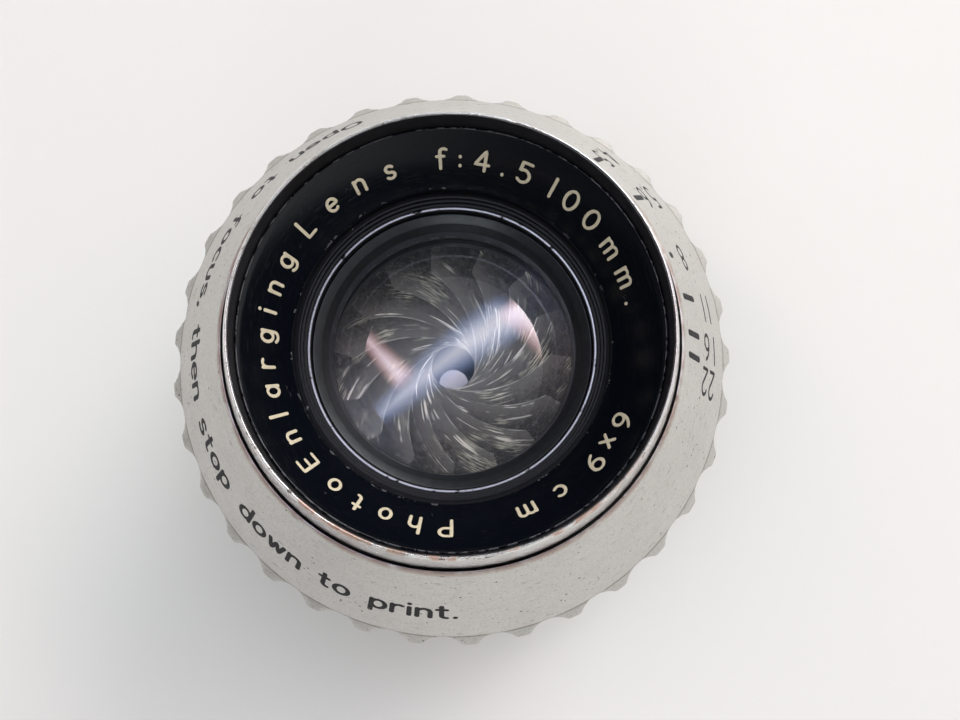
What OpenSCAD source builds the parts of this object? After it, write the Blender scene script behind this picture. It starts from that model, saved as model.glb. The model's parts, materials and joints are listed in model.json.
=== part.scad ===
// Enlarging lens, 100 mm f/4.5: five glasses in three groups, a fifteen-blade iris
// and a conical, fluted aperture ring. It stands on its rear rim, with the optical
// axis on Z and the front of the lens up. All sizes are in millimetres.
// The ring is at f/22 here; turned clockwise by ring_travel it is at f/4.5.

/* [Aperture ring] */
// Radius of the cone at its base, which is also the bottom of each flute
cone_base_r = 27.4; // [26.5:0.1:29]
// Radius of the cone at its front edge
cone_front_r = 20.8; // [20.75:0.05:21.2]
// Height of the cone
cone_h = 13; // [11:0.5:15]
// Number of flutes round the grip
flute_count = 33; // [24:1:40]
// Depth of a flute
flute_depth = 0.9; // [0.6:0.05:1]
// Radius of the cutter that makes a flute
flute_cutter_r = 2.9; // [2.6:0.1:3.4]
// Height of the fluted grip under the cone
grip_h = 9; // [8:0.5:9]
// Direction of the first flute, in degrees
flute_phase = -4.5; // [-10:0.5:10]
// Turn of the ring between f/22 and f/4.5, in degrees
ring_travel = 55; // [50:1:60]

/* [Front] */
// Height of the front rim above the base of the cone
rim_z = 17.4; // [16.5:0.1:18.5]
// Inner radius of the front rim
rim_r = 19.2; // [19.2:0.05:19.3]
// Inner radius of the name ring
name_ring_r = 14.8; // [14.8:0.05:15.2]

/* [Glass] */
// Height of the front vertex above the base of the cone
front_vertex_z = 4.8; // [4.5:0.1:5]
// Front radius of curvature of the front crown glass
front_curve_r = 31; // [30:0.5:33]
// Radius of curvature of the cemented face in the front group
front_cement_r = 89; // [80:1:100]
// Front radius of curvature of the middle glass
middle_front_r = 80.6; // [75:0.2:90]
// Rear radius of curvature of the middle glass
middle_rear_r = 28.3; // [28:0.1:32]
// Radius of curvature of the cemented face in the rear group
rear_cement_r = 32.2; // [31:0.1:36]
// Rear radius of curvature of the rear crown glass
rear_curve_r = 53; // [50:0.5:60]

/* [Iris] */
// Number of iris blades
blade_count = 15; // [12:1:15]
// Radius of the full opening, which is f/4.5
iris_open_r = 9; // [8.8:0.05:9.1]
// Swing of each blade between f/22 and f/4.5, in degrees
blade_swing = 27.5; // [26:0.5:28]
// Radius of the circle that the blades pivot on
pivot_r = 15; // [15:0.05:15.1]
// Thickness of a blade
blade_t = 0.06; // [0.04:0.01:0.07]
// Height from one blade to the next in the stack
blade_step = 0.1; // [0.08:0.005:0.105]
// Direction of the first blade's pivot, in degrees
iris_phase = 8; // [0:1:24]

/* [Mount] */
// Radius over the crests of the mounting thread (M39)
thread_r = 19.5; // [19.3:0.05:19.6]
// Length of the mounting thread
thread_h = 6; // [5:0.5:6]
// Radius of the flange that seats on the lens board
seat_r = 24.6; // [23.5:0.1:25.5]

/* [Hidden] */
$fn = 96;

// Height of the base of the cone above the rear rim. Every z below is counted from there.
base_z = 32.6;

// Small gap or overlap that keeps two faces out of one plane
eps = 0.02;

// Running fit between the aperture ring and the barrel
bearing_r = 22.45;
bearing_fit = 0.05;
shoulder_z = 7.4;
grip_lift = 0.2;
grip_chamfer = 0.6;

// Neck of the barrel, which carries the bezel and the name ring
neck_r = 19.75;
neck_bore_r = 18.6;
neck_z = 13.5;
bezel_skirt_r = 20.45;
ring_front_bore_r = 20.65;
name_ring_low_z = 8.85;
name_ring_high_z = 14.5;
name_ring_foot_z = 13.2;

// Web inside the barrel, which carries the front cell
web_top_z = 2;
web_bottom_z = -4;
web_bore_r = 14.6;
chamber_r = 18.9;
flange_r = 26;
flange_top_z = -9.2;
flange_bottom_z = -11.6;
flange_chamfer = 0.3;

// Iris pack
cam_bottom_z = -6.9;
cam_web_t = 0.8;
cam_r = 18.85;
cam_rim_r = 17.4;
cam_bore_r = 11;
plate_bottom_z = -9.3;
plate_t = 0.8;
plate_rim_r = 17.9;
plate_bore_r = 9.3;
pin_r = 0.225;
pivot_fit = 0.035;
slot_fit = 0.05;
blade_outer_r = 13.8;
blade_arc = 150;
arm_len = 4.8;
ear_r = 0.9;
arm_end_r = 0.75;
top_blade_z = cam_bottom_z - 0.05 - blade_t;
snap_groove_r = 19.4;
snap_top_z = -9.35;
snap_wire = 0.6;
swing_ratio = blade_swing / ring_travel;
arm_angle = 90 - blade_swing / 2;
pivot = [pivot_r, 0];
arm_tip = pivot + arm_len * [cos(arm_angle), sin(arm_angle)];
slot_steps = 14;

// Drive screws, which join the aperture ring to the cam ring through slots in the barrel
screw_count = 3;
screw_z = -5.5;
screw_r = 1.1;
screw_tip_r = 0.7;
screw_slot_fit = 0.1;

// Front cell: its ribs step outward above the thread of its retaining ring
cell_lip_r = 11.3;
cell_lip_t = 0.7;
cell_thread_r = 13.4;
cell_thread_end_z = 2.9;
cell_edge_z = 7.2;
cell_edge_w = 0.32;
rib_w = 0.25;
rib_h = 0.5;
rib_count = 4;
rim_shelf_z = 8.4;
rim_shelf_r = 17;
skirt_top_z = 4.6;
skirt_r = 18;

// Glasses
front_glass_r = 12.4;
front_crown_t = 7;
front_flint_t = 2;
middle_vertex_z = -11.2;
middle_glass_r = 10.4;
middle_t = 2;
rear_vertex_z = -22.2;
rear_glass_r = 11.6;
rear_flint_t = 2;
rear_crown_t = 7;
front_flint_z = front_vertex_z - front_crown_t;
front_group_end_z = front_flint_z - front_flint_t;
rear_crown_z = rear_vertex_z - rear_flint_t;
rear_end_z = rear_crown_z - rear_crown_t;

// Mount barrel and cells
mount_bore_r = 14.5;
mount_top_z = -10.3;
seat_z = -14.6;
seat_chamfer = 0.4;
thread_end_z = seat_z - thread_h;
cell_fit = 0.05;
middle_cell_top_z = -10;
middle_stop_r = 9.7;
rear_stop_r = 11;
rear_thread_r = 12.7;
rear_rim_r = 17.2;
rear_nose_z = -16.5;

// Index mark on the bezel
index_angle = -3;
index_w = 0.35;
index_h = 2.2;
index_depth = 0.18;
index_tilt = -13;

function blade_name(i) = str("iris_blade_", i < 9 ? "0" : "", i + 1);
function blade_angle(i) = iris_phase + i * 360 / blade_count;
function screw_angle(i) = flute_phase + i * 360 / screw_count;
function turn(p, a) = [p[0] * cos(a) - p[1] * sin(a), p[0] * sin(a) + p[1] * cos(a)];
function sag(curve_r, r) = curve_r - sqrt(curve_r * curve_r - r * r);

// Place of a blade's drive pin, seen from the cam ring, with the ring turned by a from f/22
function pin_path(a) =
    let (swing = blade_swing + a * swing_ratio)
    turn(pivot + turn(arm_tip - pivot, swing), -a);
function path_normal(a) =
    let (d = pin_path(a + 0.1) - pin_path(a - 0.1))
    [-d[1], d[0]] / norm(d);

// A turned solid: pairs of radius and height above the base of the cone
module turned(profile) {
    translate([0, 0, base_z]) rotate_extrude() polygon(profile);
}

module ball(curve_r, z) {
    translate([0, 0, base_z + z]) sphere(r = curve_r, $fn = 320);
}

module disc(r, bottom_z, top_z) {
    translate([0, 0, base_z + bottom_z]) cylinder(r = r, h = top_z - bottom_z);
}

// A radial pin or hole from radius r1 out to r2
module radial_pin(r, r1, r2, angle, z) {
    rotate(angle) translate([r1, 0, base_z + z]) rotate([0, 90, 0])
        cylinder(r = r, h = r2 - r1, $fn = 32);
}

module main_barrel() {
    color("dimgray") difference() {
        turned([[chamber_r, flange_bottom_z], [flange_r, flange_bottom_z],
            [flange_r, flange_top_z - flange_chamfer], [flange_r - flange_chamfer, flange_top_z],
            [bearing_r, flange_top_z], [bearing_r, shoulder_z],
            [neck_r, shoulder_z], [neck_r, neck_z], [neck_bore_r, neck_z], [neck_bore_r, web_top_z],
            [web_bore_r, web_top_z], [web_bore_r, web_bottom_z], [chamber_r, web_bottom_z]]);
        snap_groove();
        for (i = [0 : screw_count - 1]) screw_slot(screw_angle(i));
    }
}

module snap_groove() {
    low = snap_top_z - snap_wire - cell_fit;
    high = snap_top_z + eps;
    turned([[chamber_r - 1, low], [snap_groove_r, low], [snap_groove_r, high], [chamber_r - 1, high]]);
}

// A slot milled round the barrel between two drilled holes that are a little wider than it
module screw_slot(angle) {
    half = screw_tip_r + screw_slot_fit;
    hole_r = half + 0.05;
    inner = chamber_r - 1;
    outer = bearing_r + 1;
    translate([0, 0, base_z]) rotate(angle - ring_travel) rotate_extrude(angle = ring_travel)
        polygon([[inner, screw_z - half], [outer, screw_z - half],
            [outer, screw_z + half], [inner, screw_z + half]]);
    for (end = [-ring_travel, 0]) radial_pin(hole_r, inner, outer, angle + end, screw_z);
}

module front_bezel() {
    color("gainsboro") difference() {
        turned([[neck_r + cell_fit, shoulder_z + cell_fit], [bezel_skirt_r, shoulder_z + cell_fit],
            [bezel_skirt_r, cone_h], [rim_r + 0.32, rim_z - 0.35], [rim_r + 0.22, rim_z - 0.1],
            [rim_r + 0.1, rim_z], [rim_r + 0.04, rim_z - 0.04], [rim_r, rim_z - 0.14],
            [rim_r, neck_z + 0.1], [neck_r + cell_fit, neck_z + 0.1]]);
        rotate(index_angle)
            translate([bezel_skirt_r - index_depth, -index_w / 2, base_z + cone_h - 0.6])
            rotate([0, index_tilt, 0])
            cube([1, index_w, index_h]);
    }
}

module name_ring() {
    outer = rim_r - 0.1;
    foot_r = neck_bore_r - 0.1;
    color("black") turned([[name_ring_r, name_ring_low_z], [name_ring_r, name_ring_low_z + 0.7],
        [name_ring_r + 0.05, name_ring_low_z + 0.75], [outer - 0.15, name_ring_high_z],
        [outer, name_ring_high_z - 0.12], [outer, neck_z + cell_fit], [foot_r, neck_z + cell_fit],
        [foot_r, name_ring_foot_z]]);
}

module front_cell() {
    bore = front_glass_r + cell_fit;
    seat = front_group_end_z - cell_fit;
    lip_bottom = front_group_end_z - cell_lip_t;
    body_r = web_bore_r - cell_fit;
    foot_z = web_top_z + 0.03;
    rib_r = cell_thread_r + cell_edge_w;
    rib_z = cell_edge_z - rib_w;
    ribs = [for (i = [0 : rib_count - 1]) each
        [[rib_r + i * rib_w, rib_z + i * rib_h], [rib_r + i * rib_w, rib_z + (i + 1) * rib_h]]];
    crown_r = rib_r + (rib_count - 1) * rib_w + 0.2;
    color("black") turned(concat(
        [[cell_lip_r, lip_bottom], [cell_lip_r, seat], [bore, seat], [bore, cell_thread_end_z],
         [cell_thread_r, cell_thread_end_z], [cell_thread_r, cell_edge_z - 0.1],
         [cell_thread_r + 0.08, cell_edge_z], [rib_r - 0.08, cell_edge_z]],
        ribs,
        [[crown_r, rib_z + rib_count * rib_h], [crown_r, rim_shelf_z], [rim_shelf_r, rim_shelf_z],
         [rim_shelf_r, skirt_top_z], [skirt_r, skirt_top_z], [skirt_r, foot_z],
         [body_r, foot_z], [body_r, lip_bottom]]));
}

// Its inside widens upward over a shoulder
module front_retaining_ring() {
    outer = cell_thread_r - cell_fit;
    top = cell_edge_z - 1.05;
    color("black") turned([[11.75, 2.62], [front_glass_r, 2.62], [front_glass_r, 2.95], [outer, 2.95],
        [outer, top], [outer - 0.1, top], [12.25, 5.55], [11.85, 4.9], [11.78, 3.35]]);
}

module front_crown_glass() {
    color("lightsteelblue", 0.4) intersection() {
        disc(front_glass_r, front_flint_z - 1, front_vertex_z + 1);
        ball(front_curve_r, front_vertex_z - front_curve_r);
        ball(front_cement_r, front_flint_z + eps + front_cement_r);
    }
}

module front_flint_glass() {
    color("lightsteelblue", 0.4) difference() {
        disc(front_glass_r, front_group_end_z, front_flint_z + 3);
        ball(front_cement_r, front_flint_z + front_cement_r);
    }
}

module middle_glass() {
    rear_z = middle_vertex_z - middle_t;
    color("lightsteelblue", 0.4) difference() {
        disc(middle_glass_r, rear_z - sag(middle_rear_r, middle_glass_r),
            middle_vertex_z + sag(middle_front_r, middle_glass_r));
        ball(middle_front_r, middle_vertex_z + middle_front_r);
        ball(middle_rear_r, rear_z - middle_rear_r);
    }
}

module rear_flint_glass() {
    color("lightsteelblue", 0.4) difference() {
        disc(rear_glass_r, rear_crown_z - sag(rear_cement_r, rear_glass_r), rear_vertex_z);
        ball(rear_cement_r, rear_crown_z - rear_cement_r);
    }
}

module rear_crown_glass() {
    color("lightsteelblue", 0.4) intersection() {
        disc(rear_glass_r, rear_end_z - 1, rear_crown_z + 1);
        ball(rear_cement_r, rear_crown_z - eps - rear_cement_r);
        ball(rear_curve_r, rear_end_z + rear_curve_r);
    }
}

module iris_base_plate() {
    top = plate_bottom_z + plate_t;
    color("dimgray") difference() {
        turned([[plate_bore_r, plate_bottom_z], [cam_r, plate_bottom_z], [cam_r, cam_bottom_z - 0.05],
            [plate_rim_r, cam_bottom_z - 0.05], [plate_rim_r, top], [plate_bore_r, top]]);
        for (i = [0 : blade_count - 1]) rotate(blade_angle(i)) translate(pivot)
            disc(pin_r + pivot_fit, plate_bottom_z - 1, top + 1, $fn = 24);
    }
}

module iris_snap_ring() {
    gap = 24;
    inner = plate_rim_r;
    outer = snap_groove_r - cell_fit;
    low = snap_top_z - snap_wire;
    high = snap_top_z - eps;
    color("silver") translate([0, 0, base_z]) rotate(gap / 2) rotate_extrude(angle = 360 - gap)
        polygon([[inner, low], [outer, low], [outer, high], [inner, high]]);
}

module iris_cam_ring() {
    web_top = cam_bottom_z + cam_web_t;
    color("dimgray") difference() {
        turned([[cam_bore_r, cam_bottom_z], [cam_r, cam_bottom_z], [cam_r, web_bottom_z - 0.05],
            [cam_rim_r, web_bottom_z - 0.05], [cam_rim_r, web_top], [cam_bore_r, web_top]]);
        for (i = [0 : blade_count - 1]) rotate(blade_angle(i)) cam_slot();
        for (i = [0 : screw_count - 1])
            radial_pin(screw_tip_r + eps, cam_rim_r - 1, cam_r + 1, screw_angle(i), screw_z);
    }
}

module cam_slot() {
    half = pin_r + slot_fit;
    stops = [for (i = [0 : slot_steps]) -ring_travel * i / slot_steps];
    outline = concat([for (a = stops) pin_path(a) + half * path_normal(a)],
        [for (i = [slot_steps : -1 : 0]) pin_path(stops[i]) - half * path_normal(stops[i])]);
    translate([0, 0, base_z + cam_bottom_z - 1]) linear_extrude(cam_web_t + 2) polygon(outline);
    for (a = [0, -ring_travel]) translate(pin_path(a))
        disc(half, cam_bottom_z - 1, cam_bottom_z + cam_web_t + 1, $fn = 24);
}

// A blade at full opening, with its pivot on the X axis and its hollow edge round Z
module blade_plate() {
    reach = 2 * blade_outer_r;
    linear_extrude(blade_t) {
        difference() {
            circle(r = blade_outer_r, $fn = 180);
            circle(r = iris_open_r, $fn = 180);
            polygon([[0, 0], for (a = [-2, -60, -120, 200, blade_arc]) reach * turn([1, 0], a)]);
        }
        polygon([[blade_outer_r - 0.6, -ear_r / 2], [pivot_r, -ear_r], pivot + ear_r * turn([1, 0], 60),
            [blade_outer_r - 0.4, 2.6]]);
        translate(pivot) circle(r = ear_r, $fn = 32);
        translate(arm_tip) circle(r = arm_end_r, $fn = 32);
        translate(pivot) rotate(arm_angle) translate([0, -arm_end_r])
            square([arm_len, 2 * arm_end_r]);
    }
}

module iris_blade(i) {
    z = top_blade_z - i * blade_step;
    color("slategray") rotate(blade_angle(i))
    translate(pivot) rotate(blade_swing) translate(-pivot) {
        translate([0, 0, base_z + z]) blade_plate();
        translate(pivot) disc(pin_r, plate_bottom_z + 0.2, z + blade_t / 2, $fn = 24);
        translate(arm_tip) disc(pin_r, z + blade_t / 2, cam_bottom_z + cam_web_t - 0.1, $fn = 24);
    }
}

module aperture_ring() {
    peak_r = cone_base_r + flute_depth;
    bore = bearing_r + bearing_fit;
    low = grip_lift - grip_h;
    color("silver") difference() {
        turned([[bore, low], [peak_r - grip_chamfer, low], [peak_r, low + grip_chamfer],
            [peak_r, -flute_depth], [cone_base_r, 0], [cone_front_r, cone_h],
            [ring_front_bore_r, cone_h], [ring_front_bore_r, shoulder_z + 0.1], [bore, shoulder_z + 0.1]]);
        for (i = [0 : flute_count - 1]) rotate(flute_phase + i * 360 / flute_count)
            translate([cone_base_r + flute_cutter_r, 0, base_z - grip_h - 1])
                cylinder(r = flute_cutter_r, h = grip_h + 2, $fn = 64);
        for (i = [0 : screw_count - 1])
            radial_pin(screw_r + eps, bore - 1, peak_r + 1, screw_angle(i), screw_z);
    }
}

module drive_screws() {
    head_r = cone_base_r - 0.35;
    tip_start = 17.5;
    slot_w = 0.3;
    color("silver") for (i = [0 : screw_count - 1]) rotate(screw_angle(i))
        difference() {
            union() {
                radial_pin(screw_r, bearing_r + 0.3, head_r, 0, screw_z);
                radial_pin(screw_tip_r, tip_start, bearing_r + 0.5, 0, screw_z);
            }
            translate([head_r - 0.5, -1.5, base_z + screw_z - slot_w / 2]) cube([1, 3, slot_w]);
        }
}

module mount_barrel() {
    pilot_r = chamber_r - cell_fit;
    top = flange_bottom_z - eps;
    edge_r = seat_r + seat_chamfer;
    color("black") turned([[mount_bore_r, thread_end_z], [thread_r - seat_chamfer, thread_end_z],
        [thread_r, thread_end_z + seat_chamfer], [thread_r, seat_z], [seat_r, seat_z],
        [edge_r, seat_z + seat_chamfer], [edge_r, top - 0.33], [edge_r - 0.3, top],
        [pilot_r, top], [pilot_r, mount_top_z], [mount_bore_r, mount_top_z]]);
}

module middle_cell() {
    bore = middle_glass_r + cell_fit;
    edge_z = middle_vertex_z - middle_t - sag(middle_rear_r, middle_glass_r);
    bottom = edge_z - 0.9;
    outer = mount_bore_r - cell_fit;
    shelf_z = middle_cell_top_z - 0.45;
    color("black") turned([[middle_stop_r, bottom], [outer, bottom], [outer, middle_cell_top_z],
        [11.5, middle_cell_top_z], [11.5, shelf_z], [bore, shelf_z], [bore, edge_z - cell_fit],
        [middle_stop_r, edge_z - cell_fit]]);
}

module middle_retaining_ring() {
    low = middle_cell_top_z - 0.42;
    high = middle_cell_top_z + 0.15;
    color("black") turned([[middle_stop_r, low], [11.45, low], [11.45, high], [10.2, high],
        [middle_stop_r, low + 0.22]]);
}

module rear_cell() {
    nose = mount_bore_r - cell_fit;
    bore = rear_glass_r + cell_fit;
    bottom = -base_z;
    seat = rear_vertex_z + cell_fit;
    shelf_z = rear_end_z + 1.2;
    shoulder = thread_end_z - cell_fit;
    color("black") turned([[rear_stop_r, rear_nose_z], [nose, rear_nose_z], [nose, shoulder],
        [rear_rim_r, shoulder], [rear_rim_r, bottom + 0.7], [rear_rim_r - 0.7, bottom],
        [rear_thread_r + 0.5, bottom], [rear_thread_r, bottom + 0.5], [rear_thread_r, shelf_z],
        [bore, shelf_z], [bore, seat], [rear_stop_r, seat]]);
}

module rear_retaining_ring() {
    outer = rear_thread_r - cell_fit;
    notch_w = 1.4;
    color("black") difference() {
        turned([[rear_stop_r, rear_end_z + 0.95], [rear_glass_r, rear_end_z + 0.95],
            [rear_glass_r, rear_end_z + 1.1], [outer, rear_end_z + 1.1], [outer, rear_end_z - 0.6],
            [outer - 0.45, rear_end_z - 0.6], [rear_stop_r, rear_end_z + 0.5]]);
        for (side = [90, 270]) rotate(side)
            translate([11.9, -notch_w / 2, base_z + rear_end_z - 1])
            cube([1.5, notch_w, 0.9]);
    }
}

main_barrel();
front_bezel();
name_ring();
front_cell();
front_retaining_ring();
front_crown_glass();
front_flint_glass();
iris_base_plate();
iris_snap_ring();
mount_barrel();
middle_cell();
middle_glass();
middle_retaining_ring();
rear_cell();
rear_flint_glass();
rear_crown_glass();
rear_retaining_ring();
aperture_ring();
drive_screws();
iris_cam_ring();
for (i = [0 : blade_count - 1]) iris_blade(i);
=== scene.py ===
"""An enlarging lens lying on its back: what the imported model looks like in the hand.

Sizes in this file are in millimetres, and every z is counted from the base of the aperture
ring's cone, as in the CAD source. P() turns them into metres in the shared frame.
"""
import json
import math
import random

import bmesh
import bpy
from mathutils import Matrix, Vector

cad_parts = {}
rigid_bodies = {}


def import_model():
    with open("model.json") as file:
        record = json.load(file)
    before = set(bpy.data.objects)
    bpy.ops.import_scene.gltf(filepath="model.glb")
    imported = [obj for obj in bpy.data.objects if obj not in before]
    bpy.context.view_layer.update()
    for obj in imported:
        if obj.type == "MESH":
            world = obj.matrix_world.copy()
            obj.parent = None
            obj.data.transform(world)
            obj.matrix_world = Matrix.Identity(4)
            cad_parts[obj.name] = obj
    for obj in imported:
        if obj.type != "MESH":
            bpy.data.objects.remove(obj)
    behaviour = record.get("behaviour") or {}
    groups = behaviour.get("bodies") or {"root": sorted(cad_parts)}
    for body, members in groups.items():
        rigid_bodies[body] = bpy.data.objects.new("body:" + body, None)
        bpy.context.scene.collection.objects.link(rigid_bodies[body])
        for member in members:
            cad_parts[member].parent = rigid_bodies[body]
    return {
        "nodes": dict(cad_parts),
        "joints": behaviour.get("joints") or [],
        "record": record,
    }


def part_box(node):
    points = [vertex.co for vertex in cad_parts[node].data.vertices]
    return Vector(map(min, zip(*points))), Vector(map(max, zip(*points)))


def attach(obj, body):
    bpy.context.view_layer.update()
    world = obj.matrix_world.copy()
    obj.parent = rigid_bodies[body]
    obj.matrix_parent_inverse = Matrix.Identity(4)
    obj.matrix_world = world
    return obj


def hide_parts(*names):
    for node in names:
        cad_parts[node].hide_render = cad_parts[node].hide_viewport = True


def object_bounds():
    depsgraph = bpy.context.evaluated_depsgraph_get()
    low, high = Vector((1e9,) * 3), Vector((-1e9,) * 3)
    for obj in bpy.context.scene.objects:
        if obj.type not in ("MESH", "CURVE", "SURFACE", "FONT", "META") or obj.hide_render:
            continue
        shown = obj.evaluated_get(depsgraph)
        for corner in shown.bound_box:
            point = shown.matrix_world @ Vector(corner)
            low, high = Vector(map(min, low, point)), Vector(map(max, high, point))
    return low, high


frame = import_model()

cad_low, cad_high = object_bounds()

# -------------------------------- sizes from the frame
MM = 0.001
JOINTS = {joint["name"]: joint for joint in frame["joints"]}
BASE_Z = JOINTS["aperture_turn"]["pos_m"][2]
FIXED = JOINTS["aperture_turn"]["parent"]
TURNING = JOINTS["aperture_turn"]["child"]


def low_z(node):
    return (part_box(node)[0].z - BASE_Z) / MM


def high_z(node):
    return (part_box(node)[1].z - BASE_Z) / MM


RIM_Z = high_z("front_bezel")
CONE_H = high_z("aperture_ring")
GRIP_LOW = low_z("aperture_ring")
FLOOR_Z = low_z("rear_cell")
BLADE_NODES = sorted(name for name in frame["nodes"] if name.startswith("iris_blade"))

CONE_BASE_R = 27.4
CONE_FRONT_R = 20.8
FLUTES = 33
FLUTE_DEPTH = 0.9
FLUTE_CUTTER_R = 2.9
FLUTE_PHASE = -4.5
RING_BORE_R = 22.5
RING_MOUTH_R = 20.65
RING_STEP_Z = 7.5
RIM_R = 19.2
PIVOT_R = 15.0
OPEN_R = 9.0
WIDEST_STOP = 4.5
RING_TRAVEL = 55.0
INDEX_HEADING = -3.0


def P(r, degrees, z):
    """The point at radius r, direction and height z, in metres in the shared frame."""
    a = math.radians(degrees)
    return Vector((r * math.cos(a) * MM, r * math.sin(a) * MM, BASE_Z + z * MM))


def smoothstep(low, high, x):
    t = min(max((x - low) / (high - low), 0.0), 1.0)
    return t * t * (3 - 2 * t)


# -------------------------------- node graphs
def feed(tree, socket, value):
    """Links a socket to another one, or gives it a plain value."""
    if isinstance(value, bpy.types.NodeSocket):
        tree.links.new(value, socket)
    else:
        socket.default_value = value


def add_node(tree, kind, inputs=None, **settings):
    made = tree.nodes.new(kind)
    for key, value in settings.items():
        setattr(made, key, value)
    for key, value in (inputs or {}).items():
        feed(tree, made.inputs[key], value)
    return made


class Graph:
    """A material's nodes, with short calls for the ones used here."""

    def __init__(self, name):
        self.material = bpy.data.materials.new(name)
        self.material.use_nodes = True
        self.tree = self.material.node_tree
        self.shader = self.tree.nodes["Principled BSDF"]
        place = self.node("ShaderNodeTexCoord").outputs["Object"]
        self.place = self.vector("SCALE", place, scale=1 / MM)
        split = self.node("ShaderNodeSeparateXYZ", {0: self.place})
        self.x, self.y = split.outputs["X"], split.outputs["Y"]
        self.z = self.math("SUBTRACT", split.outputs["Z"], BASE_Z / MM)
        flat = self.node("ShaderNodeCombineXYZ", {0: self.x, 1: self.y})
        self.r = self.vector("LENGTH", flat.outputs[0], out="Value")
        self.heading = self.vector("NORMALIZE", flat.outputs[0])

    def node(self, kind, inputs=None, **settings):
        return add_node(self.tree, kind, inputs, **settings)

    def set(self, **inputs):
        """Sets the shader's sockets; an underscore stands for a space."""
        for key, value in inputs.items():
            feed(self.tree, self.shader.inputs[key.replace("_", " ")], value)

    def math(self, operation, a, b=0.0, c=0.0):
        return self.node("ShaderNodeMath", {0: a, 1: b, 2: c}, operation=operation).outputs[0]

    def vector(self, operation, a, b=(0, 0, 0), scale=1.0, out="Vector"):
        made = self.node("ShaderNodeVectorMath", {0: a, 1: b, 3: scale}, operation=operation)
        return made.outputs[out]

    def ramp(self, value, low, high):
        """0 below low, 1 above high and smooth between; low may be the larger."""
        flip = low > high
        made = self.node("ShaderNodeMapRange", {0: value, 1: min(low, high), 2: max(low, high),
                                                3: float(flip), 4: float(not flip)},
                         interpolation_type="SMOOTHSTEP")
        return made.outputs[0]

    def scaled(self, value, low, high):
        return self.node("ShaderNodeMapRange", {0: value, 3: low, 4: high}).outputs[0]

    def band(self, value, middle, width):
        """1 at middle, falling to 0 at width away."""
        return self.ramp(self.math("ABSOLUTE", self.math("SUBTRACT", value, middle)), width, 0.0)

    def noise(self, scale, detail=2.0, rough=0.5, place=None):
        made = self.node("ShaderNodeTexNoise", {"Vector": place or self.place, "Scale": scale,
                                                "Detail": detail, "Roughness": rough})
        return made.outputs["Fac"]

    def round_the_axis(self, along, across, lift=0.0):
        """A place that changes slowly round the axis and fast across it, for turning marks."""
        swept = self.vector("SCALE", self.heading, scale=along)
        rise = self.math("MULTIPLY_ADD", self.z, lift, self.math("MULTIPLY", self.r, across))
        tall = self.node("ShaderNodeCombineXYZ", {2: rise}).outputs[0]
        return self.vector("ADD", swept, tall)

    def shifted(self, place, seed):
        return self.vector("ADD", place or self.place, (seed, seed * 0.7, seed * 1.3))

    def specks(self, scale, size, share, seed=0.0, place=None):
        """Round dots of random size in a share of the cells."""
        cell = self.node("ShaderNodeTexVoronoi", {"Vector": self.shifted(place, seed), "Scale": scale})
        chance = self.node("ShaderNodeSeparateColor", {0: cell.outputs["Color"]})
        kept = self.math("GREATER_THAN", chance.outputs[0], 1 - share)
        reach = self.math("MULTIPLY", chance.outputs[1], size)
        inside = self.math("SUBTRACT", reach, cell.outputs["Distance"])
        return self.math("MULTIPLY", kept, self.ramp(inside, 0.0, size * 0.3))

    def hairs(self, scale, width, place=None, seed=0.0):
        """Thin curling lines, where a noise passes through its middle value."""
        return self.band(self.noise(scale, 3, 0.6, self.shifted(place, seed)), 0.5, width)

    def fold(self, operation, values):
        found = values[0]
        for value in values[1:]:
            found = self.math(operation, found, value)
        return found

    def most(self, *values):
        return self.fold("MAXIMUM", values)

    def times(self, *values):
        return self.fold("MULTIPLY", values)

    def mix(self, factor, a, b):
        made = self.node("ShaderNodeMix", {0: factor, 6: a, 7: b}, data_type="RGBA")
        return made.outputs[2]

    def bump(self, height, distance, strength):
        inputs = {"Height": height, "Distance": distance, "Strength": strength}
        return self.node("ShaderNodeBump", inputs).outputs[0]


def rgb(r, g, b):
    return (r, g, b, 1.0)


def placed(name, data):
    """A new object in the scene."""
    made = bpy.data.objects.new(name, data)
    bpy.context.scene.collection.objects.link(made)
    return made


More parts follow.
